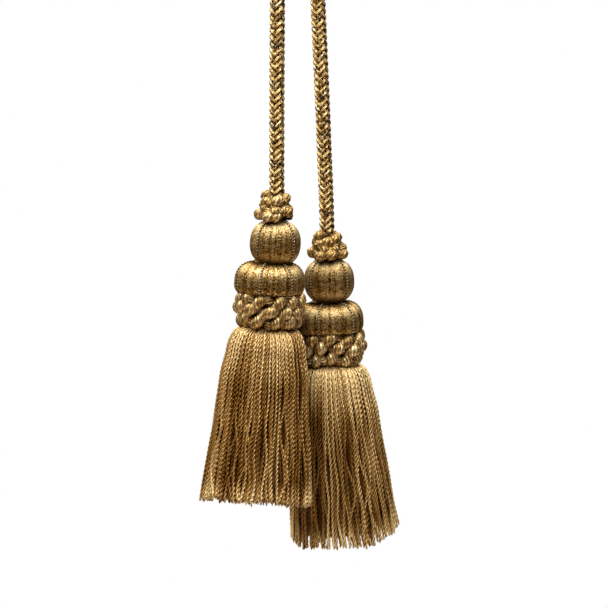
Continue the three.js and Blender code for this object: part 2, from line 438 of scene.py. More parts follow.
class NodeTree:
    """Builds the nodes of a material or a world, with a short call for each kind."""

    def __init__(self, owner: Material | bpy.types.World) -> None:
        """Empties the owner's node tree.

        Args:
            owner: The material or world that the nodes are for.
        """
        self.owner = owner
        owner.use_nodes = True
        self.tree = owner.node_tree
        self.tree.nodes.clear()

    def add(self, kind: str, inputs: dict | None = None, **settings: str | bool) -> Node:
        """Adds a node, sets its properties, and fills or links its inputs.

        Args:
            kind: Node type, without its ShaderNode prefix.
            inputs: Values or sockets to join, by input name or number.
            **settings: Properties of the node.

        Returns:
            The new node.
        """
        node = self.tree.nodes.new("ShaderNode" + kind)
        for key, value in settings.items():
            setattr(node, key, value)
        for key, value in (inputs or {}).items():
            if isinstance(value, NodeSocket):
                self.tree.links.new(value, node.inputs[key])
            else:
                node.inputs[key].default_value = value
        return node

    def math(self, operation: str, *values: float | NodeSocket, clamp: bool = False) -> NodeSocket:
        """Adds a Math node and returns its output."""
        inputs = dict(enumerate(values))
        return self.add("Math", inputs, operation=operation, use_clamp=clamp).outputs[0]

    def attribute(self, name: str) -> NodeSocket:
        """Adds a node that reads a mesh attribute, and returns its value."""
        return self.add("Attribute", attribute_name=name).outputs["Fac"]

    def noise(self, scale: float) -> NodeSocket:
        """Adds a noise texture on the object's own coordinates and returns its value."""
        place = self.add("TexCoord").outputs["Object"]
        return self.add("TexNoise", {"Vector": place, "Scale": scale, "Detail": 2}).outputs["Fac"]

    def moved(self, tone: NodeSocket, value: NodeSocket, amount: float) -> NodeSocket:
        """Adds (value - 0.5) * amount to a tone and returns the sum."""
        return self.math("MULTIPLY_ADD", self.math("SUBTRACT", value, 0.5), amount, tone)

    def mix(self, share: NodeSocket, first: NodeSocket, second: Colour) -> NodeSocket:
        """Mixes a colour into another by a share, and returns the mixed colour."""
        inputs = {0: share, 6: first, 7: (*second, 1)}
        return self.add("Mix", inputs, data_type="RGBA").outputs[2]

    def ramp(self, value: NodeSocket, stops: dict[float, Colour]) -> NodeSocket:
        """Adds a colour ramp.

        Args:
            value: Where to read it.
            stops: Its three colours, by their places on it.

        Returns:
            Its colour.
        """
        node = self.add("ValToRGB", {0: value})
        node.color_ramp.elements.new(0.5)
        for element, (place, colour) in zip(node.color_ramp.elements, stops.items()):
            element.position = place
            element.color = (*colour, 1)
        return node.outputs[0]

    def bump(self, height: NodeSocket, strength: float, depth: float) -> NodeSocket:
        """Adds a bump with its depth in millimetres, and returns its normal."""
        inputs = {"Strength": strength, "Distance": depth * MM, "Height": height}
        return self.add("Bump", inputs).outputs[0]

    def finished(self, inputs: dict) -> Material:
        """Adds the Principled shader of a material.

        Args:
            inputs: The shader's values or sockets, by input name.

        Returns:
            The material.
        """
        shader = self.add("BsdfPrincipled", inputs)
        self.add("OutputMaterial", {0: shader.outputs[0]})
        return self.owner


@dataclass(frozen=True)
class ThreadFinish:
    """What the lustrous threads share.

    The colour goes from dark at a tone of 0 through middle to light at 1. Under the tone
    `sunk` the metallic share rises to 1, which takes the pale sheen off the hollows
    between fibres.
    """

    name: str
    dark: Colour
    middle: Colour
    light: Colour
    glint: Colour = (1.0, 0.88, 0.68)
    roughness: float = 0.45
    specular: float = 0.6
    ior: float = 1.6
    metallic: float = 0.7
    sunk: float = 0.45
    anisotropic: float = 0.0

    def colour(self, made: NodeTree, tone: NodeSocket) -> NodeSocket:
        """Returns the thread's colour at a tone."""
        return made.ramp(tone, {0.0: self.dark, 0.5: self.middle, 1.0: self.light})

    def dressed(
        self, made: NodeTree, tone: NodeSocket, colour: NodeSocket, normal: NodeSocket
    ) -> Material:
        """Finishes the material.

        Args:
            made: Its nodes.
            tone: The thread's tone.
            colour: Its colour.
            normal: Its bumped normal.

        Returns:
            The material.
        """
        lack = made.math("SUBTRACT", self.sunk, tone)
        hollow = made.math("MULTIPLY", lack, 1 / self.sunk, clamp=True)
        return made.finished(
            {
                "Base Color": colour,
                "Metallic": made.math("MAXIMUM", hollow, self.metallic),
                "Roughness": self.roughness,
                "IOR": self.ior,
                "Specular IOR Level": self.specular,
                "Specular Tint": (*self.glint, 1),
                "Anisotropic": self.anisotropic,
                "Normal": normal,
            }
        )


@dataclass(frozen=True)
class YarnFinish(ThreadFinish):
    """A lustrous yarn. The first number of its uv runs along it and the second round it.

    fibres is the number of fine ridges round one strand, depth their depth in millimetres
    and tangle how far noise shifts them. speckle and cloud are how far fine and broad
    noise move the tone, each at its own scale. fleck is the strength of the small specks
    of metal thread, which show where a noise is above fleck_level.
    """

    # Painted shade: the dark colour that the mesh's warm share mixes in, in crevices, under crossings
    # and on the dark fillings. Strands also take it near their cut ends.
    crevice_shade: Colour = (0.045, 0.016, 0.003)
    fibres: float = 9.0
    depth: float = 0.08
    bump: float = 0.8
    tangle: float = 0.8
    tangle_scale: float = 700.0
    speckle: float = 0.35
    speckle_scale: float = 2600.0
    cloud: float = 0.25
    cloud_scale: float = 90.0
    fleck: float = 0.0
    fleck_colour: Colour = (0.85, 0.72, 0.42)
    fleck_scale: float = 900.0
    fleck_level: float = 0.64

    def build(self) -> Material:
        """Makes the material.

        Returns:
            The new material.
        """
        made = NodeTree(bpy.data.materials.new(self.name))
        tone = made.moved(made.attribute("tone"), made.noise(self.speckle_scale), self.speckle)
        tone = made.moved(tone, made.noise(self.cloud_scale), self.cloud)
        # The warm share mixes in the dark colour of the crevices: painted shade.
        colour = made.mix(made.attribute("warm"), self.colour(made, tone), self.crevice_shade)
        if self.fleck:
            spark = made.math("GREATER_THAN", made.noise(self.fleck_scale), self.fleck_level)
            colour = made.mix(made.math("MULTIPLY", spark, self.fleck), colour, self.fleck_colour)
        split = made.add("SeparateXYZ", {0: made.add("UVMap", uv_map="thread").outputs[0]})
        turns = made.math("MULTIPLY", split.outputs[1], self.fibres)
        turns = made.math("MULTIPLY_ADD", made.noise(self.tangle_scale), self.tangle, turns)
        ridge = made.math("SINE", made.math("MULTIPLY", turns, TAU))
        return self.dressed(made, tone, colour, made.bump(ridge, self.bump, self.depth))


@dataclass(frozen=True)
class WoundFinish(ThreadFinish):
    """Fine twisted thread wound side by side, with the broken lustre of its small plies.

    The uv map's first number counts the threads, and its second is millimetres along them.
    Each thread is cut into stitches of `stitch` millimetres, shifted at random, and each
    stitch has its own tone, moved by up to half of `grain`. cloud is how far broad noise
    moves the tone, and relief the depth of the finer fibres in millimetres.
    """

    glint: Colour = (1.0, 0.9, 0.72)
    roughness: float = 0.66
    specular: float = 0.45
    metallic: float = 0.86
    anisotropic: float = 0.8
    grain: float = 1.1
    stitch: float = 0.36
    cloud: float = 0.12
    cloud_scale: float = 140.0
    relief: float = 0.3
    relief_scale: float = 900.0

    def build(self) -> Material:
        """Makes the material.

        Returns:
            The new material.
        """
        made = NodeTree(bpy.data.materials.new(self.name))
        thread = made.add("SeparateXYZ", {0: made.add("UVMap", uv_map="thread").outputs[0]})
        number = made.math("ROUND", thread.outputs[0])
        start = made.add("TexWhiteNoise", {"W": number}, noise_dimensions="1D").outputs[0]
        stitch = made.math("MULTIPLY_ADD", thread.outputs[1], 1 / self.stitch, start)
        cell = made.add("CombineXYZ", {0: number, 1: made.math("FLOOR", stitch)}).outputs[0]
        plies = made.add("TexWhiteNoise", {"Vector": cell}, noise_dimensions="2D").outputs[0]
        tone = made.moved(made.attribute("tone"), plies, self.grain)
        tone = made.moved(tone, made.noise(self.cloud_scale), self.cloud)
        normal = made.bump(made.noise(self.relief_scale), 1.0, self.relief)
        return self.dressed(made, tone, self.colour(made, tone), normal)


@dataclass(frozen=True)
class FoilFinish:
    """A foil thread twisted with a dark one: the tone, moved by the grain, picks either."""

    name: str
    foil: Colour = (0.62, 0.49, 0.26)
    dark: Colour = (0.045, 0.026, 0.008)
    between: Colour = (0.2175, 0.1652, 0.0836)
    roughness: float = 0.36
    metallic: float = 0.75
    grain: float = 0.9
    grain_scale: float = 3200.0
    relief: float = 0.06
    relief_scale: float = 2400.0

    def build(self) -> Material:
        """Makes the material.

        Returns:
            The new material.
        """
        made = NodeTree(bpy.data.materials.new(self.name))
        tone = made.moved(made.attribute("tone"), made.noise(self.grain_scale), self.grain)
        return made.finished(
            {
                "Base Color": made.ramp(tone, {0.4: self.dark, 0.6: self.between, 0.8: self.foil}),
                "Metallic": self.metallic,
                "Roughness": self.roughness,
                "Normal": made.bump(made.noise(self.relief_scale), 0.6, self.relief),
            }
        )


# ---- Studio ----


def hang_facing(
    name: str, data: bpy.types.ID, aim: Vector, azimuth: float, elevation: float, distance: float
) -> bpy.types.Object:
    """Puts a light or a camera round the aim, so that it faces it.

    Args:
        name: The new object's name.
        data: The light or the camera.
        aim: The point that it faces.
        azimuth: Degrees round the aim, from the front towards +X.
        elevation: Degrees above the aim.
        distance: Metres from the aim.

    Returns:
        The new object.
    """
    turn, rise = math.radians(azimuth), math.radians(elevation)
    way = Vector((math.sin(turn) * math.cos(rise), -math.cos(turn) * math.cos(rise), math.sin(rise)))
    item = bpy.data.objects.new(name, data)
    item.location = aim + distance * way
    item.rotation_euler = way.to_track_quat("Z", "Y").to_euler()
    bpy.context.scene.collection.objects.link(item)
    return item


@dataclass(frozen=True)
class Softbox:
    """A rectangular area light, in metres, degrees and watts."""

    name: str
    azimuth: float
    elevation: float
    distance: float
    width: float
    height: float
    watts: float
    colour: Colour = (1.0, 1.0, 1.0)

    def build(self, aim: Vector) -> None:
        """Makes the light.

        Args:
            aim: The point that it faces.
        """
        data = bpy.data.lights.new(self.name, "AREA")
        data.shape = "RECTANGLE"
        data.size, data.size_y = self.width, self.height
        data.energy, data.color = self.watts, self.colour
        hang_facing(self.name, data, aim, self.azimuth, self.elevation, self.distance)


@dataclass(frozen=True)
class Studio:
    """Camera, soft lights, white surround and a plain pale floor, in metres."""

    aim: tuple[float, float, float] = (0.0028, 0.0, -0.1728)
    distance: float = 1.3
    elevation: float = 7.5
    lens: float = 171.0
    surround: float = 0.06
    surround_colour: Colour = (1.0, 0.66, 0.30)
    floor_drop: float = 0.10
    floor_radius: float = 0.2
    floor_sides: int = 96
    floor_colour: Colour = (0.93, 0.93, 0.92)
    floor_glow: float = 0.25
    lights: tuple[Softbox, ...] = (
        Softbox("key", -38.0, 66.0, 0.7, 1.3, 0.9, 18.5, (0.98, 1.0, 1.03)),
        Softbox("overhead", -20.0, 96.0, 0.6, 1.0, 0.8, 11.0, (0.98, 1.0, 1.03)),
        Softbox("front_fill", -8.0, -42.0, 1.0, 0.5, 0.3, 2.8, (1.0, 0.62, 0.26)),
        Softbox("left_edge", -100.0, 10.0, 0.9, 0.25, 0.6, 1.0),
        Softbox("right_edge", 105.0, 20.0, 1.0, 0.25, 0.6, 0.15),
    )

    def build(self) -> None:
        """Makes all of it, with the camera in front and a little above the tassels."""
        aim = Vector(self.aim)
        data = bpy.data.cameras.new("camera")
        data.lens = self.lens
        data.sensor_width = 36.0
        scene = bpy.context.scene
        scene.camera = hang_facing("camera", data, aim, 0.0, self.elevation, self.distance)
        scene.view_settings.view_transform = "Standard"
        self.make_world()
        self.make_floor()
        for light in self.lights:
            light.build(aim)

    def make_world(self) -> None:
        """Makes a surround that is seen as white and lights the object softly."""
        bpy.context.scene.world = bpy.data.worlds.new("surround")
        made = NodeTree(bpy.context.scene.world)
        warm = {"Color": (*self.surround_colour, 1), "Strength": self.surround}
        soft = made.add("Background", warm).outputs[0]
        seen = made.add("Background", {"Color": (1, 1, 1, 1), "Strength": 1.0}).outputs[0]
        direct = made.add("LightPath").outputs["Is Camera Ray"]
        mixed = made.add("MixShader", {0: direct, 1: soft, 2: seen}).outputs[0]
        made.add("OutputWorld", {0: mixed})

    def make_floor(self) -> None:
        """Lays a pale disc under the tassels."""
        low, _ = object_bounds()
        ring = polar(around(self.floor_sides), self.floor_radius, low.z - self.floor_drop)
        mesh = bpy.data.meshes.new("floor")
        mesh.from_pydata(ring.tolist(), [], [list(range(self.floor_sides))])
        floor = bpy.data.objects.new("floor", mesh)
        pale = {
            "Base Color": (*self.floor_colour, 1),
            "Roughness": 0.9,
            "Emission Color": (1, 1, 1, 1),
            "Emission Strength": self.floor_glow,
        }
        mesh.materials.append(NodeTree(bpy.data.materials.new("pale_floor")).finished(pale))
        bpy.context.scene.collection.objects.link(floor)
        floor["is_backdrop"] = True


# ---- The cord ----

# The cord's centre line in metres: the front leg from its ruff up, the loop, and the back
# leg down to its ruff.
CORD_ROUTE = (
    (-0.0092, -0.0095, -0.1208), (-0.0093, -0.0095, -0.1120), (-0.0092, -0.0095, -0.0980),
    (-0.0092, -0.0095, -0.0840), (-0.0091, -0.0095, -0.0680), (-0.0090, -0.0095, -0.0520),
    (-0.0089, -0.0095, -0.0360), (-0.00885, -0.0095, -0.0260), (-0.00885, -0.0095, -0.0163),
    (-0.00767, -0.00823, -0.0098), (-0.00443, -0.00475, -0.00504), (0.0, 0.0, -0.0033),
    (0.00443, 0.00475, -0.00504), (0.00767, 0.00823, -0.0098), (0.00885, 0.0095, -0.0163),
    (0.0089, 0.0095, -0.0260), (0.0091, 0.0095, -0.0380), (0.0098, 0.0095, -0.0540),
    (0.0106, 0.0095, -0.0720), (0.0114, 0.0095, -0.0900), (0.0120, 0.0095, -0.1060),
    (0.0126, 0.0095, -0.1195), (0.0130, 0.0095, -0.1310), (0.0132, 0.0095, -0.1401),
)


def spline(points: Array, steps: int) -> Array:
    """Returns the centripetal Catmull-Rom curve through the points.

    Each stretch is a cubic Hermite curve whose end slopes come from the knots on both
    sides, spaced by the square root of their distances.

    Args:
        points: The knots, (knots, 3).
        steps: Points to each stretch.

    Returns:
        The curve's points, (stretches * steps + 1, 3).
    """
    knots = np.vstack([2 * points[0] - points[1], points, 2 * points[-1] - points[-2]])
    rise = np.diff(knots, axis=0)
    gap = np.sqrt(np.linalg.norm(rise, axis=1))[:, None]
    slope = rise / gap
    across = (knots[2:] - knots[:-2]) / (gap[:-1] + gap[1:])
    tangent = slope[:-1] - across + slope[1:]
    leave, arrive = tangent[:-1] * gap[1:-1], tangent[1:] * gap[1:-1]
    part = (np.arange(steps) / steps)[None, :, None]
    curve = hermite(part, knots[1:-2, None], leave[:, None], knots[2:-1, None], arrive[:, None])
    return np.vstack([curve.reshape(-1, 3), points[-1:]])


def evenly(curve: Array, count: int) -> tuple[Array, Array]:
    """Spaces points evenly along a curve.

    Args:
        curve: The curve's points, (points, 3).
        count: How many points to space.

    Returns:
        The new points, (count, 3), and how far along the curve each one is.
    """
    length = travelled(curve)
    place = np.linspace(0, length[-1], count)
    return np.stack([np.interp(place, length, curve[:, axis]) for axis in range(3)], -1), place


@dataclass(frozen=True)
class BraidedCord:
    """Round braid of six strands each way, two over and two under.

    The strands that show lie in six upright columns, three of each slant. A strand's
    azimuth turns evenly along the cord, and its distance from the cord's middle rises
    where its own columns are and falls in the others. Its tone varies by up to mottle in
    waves of about mottle_length, for each way, and edge_shade of painted shade lowers it on
    the side where the sine of the angle round the strand is over edge_from. Where a strand
    dips under the others, it takes a share of the dark colour for crevices as painted
    shade. loop is the part of the cord's length that lies in the loop.
    """

    diameter: float = 7.1
    bare_diameter: float = 6.6
    each_way: int = 6
    pitch: float = 17.6
    rings: int = 480
    width: float = 1.5
    thickness: float = 1.3
    wave: float = 0.4
    sides: int = 7
    weave_length: float = 1.9
    into_ruff: float = 7.0
    column_turn: float = -33.0
    core_radius: float = 2.0
    core_sides: int = 10
    crevice_shade: float = 0.4
    edge_shade: float = 0.3
    edge_from: float = 0.6
    mottle: float = 0.36
    mottle_length: Pair = (4.5, 1.9)
    mottle_spread: Pair = (0.8, 1.4)
    tones: tuple[float, float, float] = (0.8, 0.6, 0.55)
    tone_spread: float = 0.12
    loop: Pair = (0.42, 0.58)
    flatness: float = 2.2
    seed: int = 3

    def build(self) -> None:
        knots = np.array(CORD_ROUTE) / MM
        down = np.array([0, 0, -self.into_ruff])
        curve = spline(np.vstack([knots[0] + down, knots, knots[-1] + down]), 24)
        line, place = evenly(curve, self.rings)
        tangent = unit(np.gradient(line, axis=0))
        level = unit(np.array([knots[-1][1] - knots[0][1], knots[0][0] - knots[-1][0], 0.0]))
        side = unit(level - (tangent @ level)[:, None] * tangent)
        core = polar(around(self.core_sides), self.core_radius)[:, :2]
        # The core is darkened with a share of the dark colour for crevices: painted shade between the
        # strands.
        filling = tubes(*swept(line[None], side[None], core), place, tone=0.3, warm=0.3)
        shell = joined(self.strands(line, place, side, np.cross(tangent, side)), filling)
        piece = make_piece("braided_cord", shell, Slot.BRAID, "cord")

    def strands(self, line: Array, place: Array, side: Array, other: Array) -> Shell:
        """Returns the twelve strands.

        A strand of the first set has azimuth k * 60 + 360 * place / pitch degrees and
        radius mean + wave * c, where c is a flattened cosine of three times the azimuth
        from its column. The second set turns the other way and has mean - wave * c. The
        columns swing to the other side over the loop.

        Args:
            line: The cord's centre line, (rings, 3).
            place: How far along it each ring is.
            side: Level direction across the line at each ring.
            other: Direction across both.

        Returns:
            The strands as one shell. Every sixth one is foil.
        """
        mean = self.diameter / 2 - self.thickness / 2 - self.wave
        count = self.each_way
        way = np.repeat([1.0, -1.0], count)[:, None]
        order = np.tile(np.arange(count), 2)[:, None]
        azimuth = TAU * order / count + way * TAU * place[None] / self.pitch
        over_loop = smooth_step(place / place[-1], *self.loop)
        column = np.radians(self.column_turn * (1 - 2 * over_loop))
        lift = way * np.tanh(self.flatness * np.cos(3 * (azimuth - column)))
        outward = np.cos(azimuth)[..., None] * side + np.sin(azimuth)[..., None] * other
        paths = line + (mean + self.wave * lift)[..., None] * outward
        angle = around(self.sides) + np.pi / self.sides
        section = polar(angle)[:, :2] * np.array([self.thickness, self.width]) / 2
        rng = np.random.default_rng(self.seed)
        kind = np.where(order == count - 1, 2, order % 2)
        tone = np.array(self.tones)[kind][..., None]
        tone = tone + rng.normal(0, self.tone_spread, (2 * count, 1, self.sides))
        # Painted shade along one side of each strand.
        tone = tone - self.edge_shade * (np.sin(angle) > self.edge_from)
        length = np.where(way > 0, *self.mottle_length)
        length = rng.uniform(*self.mottle_spread, length.shape) * length
        start = rng.uniform(0, TAU, (2 * count, 1))
        tone = tone + self.mottle * np.sin(TAU * place / length + start)[..., None]
        # Painted shade: the dark colour for crevices where the strand dips under.
        warm = self.crevice_shade * (0.5 - 0.5 * lift)[..., None]
        rings = swept(paths, outward, section)
        return tubes(*rings, place / self.weave_length, tone, warm, finish=kind[:, 0] // 2)


# ---- Tassel pieces ----


@dataclass(frozen=True)
class Hang:
    """How one tassel hangs: its top in millimetres and its tilt towards -X in degrees."""

    top: Array
    tilt: float

    @classmethod
    def from_ball(cls, name: str, tilt: float, shift: float, middle: float) -> "Hang":
        """Finds the tassel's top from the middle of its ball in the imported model.

        Args:
            name: The tassel's name.
            tilt: Degrees that the axis swings towards -X.
            shift: How far the ball sits off the axis along X.
            middle: Height of the ball's middle under the tassel's top, below 0.

        Returns:
            How the tassel hangs.
        """
        low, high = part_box(f"{name}_ball")
        centre = (np.array(low) + np.array(high)) / 2 / MM
        free = cls(np.zeros(3), tilt)
        return cls(centre - free.world(np.array([shift, 0.0, middle])), tilt)

    def turned(self, vectors: Array) -> Array:
        """Turns vectors from the tassel's frame to the model's, about Y by the tilt."""
        cos, sin = math.cos(math.radians(self.tilt)), math.sin(math.radians(self.tilt))
        return vectors @ np.array([[cos, 0, -sin], [0, 1, 0], [sin, 0, cos]])

    def world(self, points: Array) -> Array:
        """Moves points from the tassel's frame to the model's."""
        return self.turned(points) + self.top


@dataclass(frozen=True)
class Plait:
    """A ring or cone of twisted cord worked as a Turk's head, one closed cord in all.

    With t running through `bights` turns, the azimuth is leads * t / bights and the
    height is middle + half * (cos t + cos 3t / 9) * 0.9. The cord lies further out by
    -weave * sin((leads - 1) t), which takes it over and under in turn, by -lean * sin t,
    which brings its rising runs to the front, and by -knob * cos(2 leads t), which lifts
    the lumps between its crossings. It swells where it is far out, and where it lies under
    it takes the dark colour for crevices as painted shade. Its tone is lower in the furrows
    between its plies, also painted shade. `uneven` is how far it strays from all that.
    """

    leads: int
    bights: int
    cord: float
    middle: float
    half: float
    top_radius: float
    foot_radius: float
    weave: float
    lean: float
    knob: float
    turn: float
    seed: int
    uneven: float
    shade: float = 0.62
    swell: float = 0.24
    plies: int = 6
    ply_pitch: float = 6.5
    ply_depth: float = 0.15
    ply_sides: int = 4
    ply_tone: float = 0.12
    furrow: float = 0.48
    crevice_shade: float = 1.1
    crevice_shade_from: float = 0.4
    steps: int = 12

    def line(self, t: Array) -> tuple[Array, Array, Array]:
        """Works out the cord's course by the formula of the class.

        Args:
            t: Where along the cord.

        Returns:
            The centre line, the way out from the axis, and how far the cord is over, from
            -1 where it is right under to 1 where it is right over.
        """
        rng = np.random.default_rng(self.seed)
        slow = t / self.bights
        waves = (self.bights - 2, self.bights + 1, 2 * self.bights + 3)
        rise, swing, stray = (self.uneven * ripple(slow, waves, rng) for _ in range(3))
        height = self.half * (np.cos(t) + np.cos(3 * t) / 9) * 0.9 + rise
        part = 0.5 - 0.5 * height / self.half
        over = -self.weave * np.sin((self.leads - 1) * t) - self.lean * np.sin(t)
        over = over - self.knob * np.cos(2 * self.leads * t)
        radius = self.top_radius + (self.foot_radius - self.top_radius) * part + over + swing / 2
        azimuth = self.leads * slow + self.turn + stray / radius
        over = over / (self.weave + self.lean + self.knob)
        return polar(azimuth, radius, self.middle + height), polar(azimuth), over

    def shell(self) -> Shell:
        """Makes the plait's twisted cord.

        Returns:
            The cord as one closed tube.
        """
        fine = np.linspace(0, TAU * self.bights, 400 * self.bights)
        length = travelled(self.line(fine)[0])
        rings = round(length[-1] / self.ply_pitch) * self.steps
        place = length[-1] * np.arange(rings) / rings
        points, outward, over = self.line(np.interp(place, length, fine))
        sides = self.plies * self.ply_sides
        angle = -TAU * np.arange(rings) / self.steps
        section = turned_section(ply_section(self.plies, sides, self.ply_depth), angle)
        section = section * (1 + self.swell * over)[:, None, None]
        crest = np.abs(np.cos(self.plies * around(sides) / 2))
        strands = np.random.default_rng(self.seed).normal(0, self.ply_tone, self.plies)
        strands = np.roll(np.repeat(strands, self.ply_sides), -self.ply_sides // 2)
        # Painted shade in the furrows between the plies.
        tone = self.shade + strands - self.furrow * (1 - crest)
        # Painted shade: the dark colour for crevices where the cord runs under.
        warm = np.clip(self.crevice_shade * (self.crevice_shade_from - over), 0, 1)[:, None]
        course = swept(points[None], outward[None], self.cord / 2 * section, looped=True)
        return tubes(*course, place / self.ply_pitch, tone, warm)


@dataclass(frozen=True)
class Mould:
    """What sets the ball and the drum apart.

    polish is painted light and shade added to the tone at parts of the height, from 0 at
    the foot to 1 at the top: painted highlights on the shoulders and towards the ball's
    top, a painted reflection of the drum on the ball's foot, and painted shade on the
    drum's foot and crest.
    """

    threads: int
    seed: int
    painted_light_and_shade: Curve


# The ball is lighter at its foot (painted reflection) and top (painted highlight). The drum is lighter
# on its shoulder (painted highlight) and darker at its foot and crest (painted shade).
BALL = Mould(140, 144, ((0.0, 1.3), (0.12, 0.7), (0.32, 0.05), (0.52, 0.0), (0.8, 0.2), (1.0, 0.6)))
DRUM = Mould(190, 194, ((0.0, -0.3), (0.35, 0.0), (0.62, 0.0), (0.82, 0.35), (0.93, 0.0), (1.0, -0.3)))


@dataclass(frozen=True)
class Winding:
    """A wooden mould wound with fine thread from pole to pole.

    The profile runs from the lower pole to the upper one. The threads are ridges down
    the body, each a little higher or lower than the next, and `marks` are the azimuths of
    the foil threads, in degrees from the front. The tone wanders round the body in waves,
    `stripes` to a turn, and painted_ridge_shading adds a painted highlight on the ridges and painted
    shade between them. A foil thread runs over the part `marked` of the profile, with
    mark_tone round its section.
    """

    mould: Mould
    radius: Array
    height: Array
    marks: tuple[float, ...]
    seed: int
    ridge: float = 0.16
    ridge_spread: float = 0.12
    stripes: tuple[int, ...] = (9, 17, 28)
    stripe_tone: float = 0.1
    tone_spread: float = 0.15
    painted_ridge_shading: Pair = (0.12, -0.2)
    marked: Pair = (0.02, 0.98)
    mark_width: float = 1.0
    mark_pitch: float = 1.35
    mark_proud: float = 0.22
    mark_furrow: float = 0.35
    mark_tone: tuple[float, ...] = (1.0, 0.6, 0.0, 0.0, 0.0, 0.0, 0.0, 0.6)
    steps: int = 8

    def shell(self) -> Shell:
        """Returns the wound body with its foil threads."""
        return joined(self.body(), self.foil_threads())

    def body(self) -> Shell:
        """Makes the wound body: the ridges lift every other column of a lathe.

        Returns:
            The body. Its uv is (number of the thread, millimetres along it).
        """
        rng = np.random.default_rng(self.seed + self.mould.seed)
        threads = self.mould.threads
        high = np.repeat(rng.normal(0, self.ridge_spread, threads), 2) + np.tile([0.5, -0.5], threads)
        lift = self.ridge * high * (self.radius / self.radius.max())[:, None]
        shade = 0.5 + self.stripe_tone * ripple(around(threads), self.stripes, rng)
        shade = shade + rng.normal(0, self.tone_spread, threads)
        # Painted highlight on each thread's crest and painted shade between threads.
        shade = np.repeat(shade, 2) + np.tile(self.painted_ridge_shading, threads)
        up = (self.height - self.height.min()) / np.ptp(self.height)
        # Painted light and shade by height.
        painted_light_and_shade = np.interp(up, *np.transpose(self.mould.painted_light_and_shade))
        tone = shade + painted_light_and_shade[:, None]
        shell = lathe(self.radius, self.height, 2 * threads, lift, tone)
        shell.uv = [uv * np.array([threads, 1.0]) for uv in shell.uv]
        return shell

    def foil_threads(self) -> Shell:
        """Makes the foil threads, two-ply cords that lie on the body's profile.

        Returns:
            The foil threads as one shell.
        """
        length = travelled(np.stack([self.radius, self.height], -1))
        count = int(length[-1] / self.mark_pitch * self.steps)
        place = np.linspace(*self.marked, count) * length[-1]
        radius = np.interp(place, length, self.radius)
        height = np.interp(place, length, self.height)
        normal = unit(np.stack([np.gradient(height), -np.gradient(radius)], -1))
        azimuth = np.radians(np.array(self.marks) - 90)[:, None]
        proud = self.mark_proud * self.mark_width
        lines = polar(azimuth, radius + proud * normal[:, 0], height + proud * normal[:, 1])
        outward = polar(azimuth, normal[:, 0], normal[:, 1])
        tone = np.array(self.mark_tone)
        section = ply_section(2, len(tone), self.mark_furrow)
        section = turned_section(section, TAU * np.arange(count) / self.steps)
        rings = swept(lines, outward, self.mark_width / 2 * section)
        return tubes(*rings, place / self.mark_pitch, tone, finish=1)


@dataclass(frozen=True)
class StrandLayer:
    """One layer of fringe strands.

    inset is how deep its strands lie under the skirt's surface, start how far under the
    shoulder they begin, and steps the rings to a turn of their plies. thick strands have
    six sides, and the others four. clearance is how far they stay from the other skirt.
    tone is the yarn's tone, lower in the deeper layers as painted shade.
    """

    strands: int
    inset: float
    start: float
    steps: int
    thick: bool
    tone: float
    clearance: float


# The deeper layers have lower tones: painted shade.
LAYERS = {
    "outer": (StrandLayer(108, 0.0, -2.0, 8, True, 0.58, 1.2),),
    "under": (StrandLayer(96, 1.0, -1.0, 6, False, 0.3, 2.0),),
    "heart": (
        StrandLayer(72, 3.2, 8.0, 4, False, 0.15, 3.6),
        StrandLayer(48, 9.0, 66.0, 4, False, 0.25, 6.0),
        StrandLayer(36, 13.0, 70.0, 4, False, 0.25, 8.0),
        StrandLayer(20, 17.5, 70.0, 4, False, 0.25, 9.0),
    ),
}


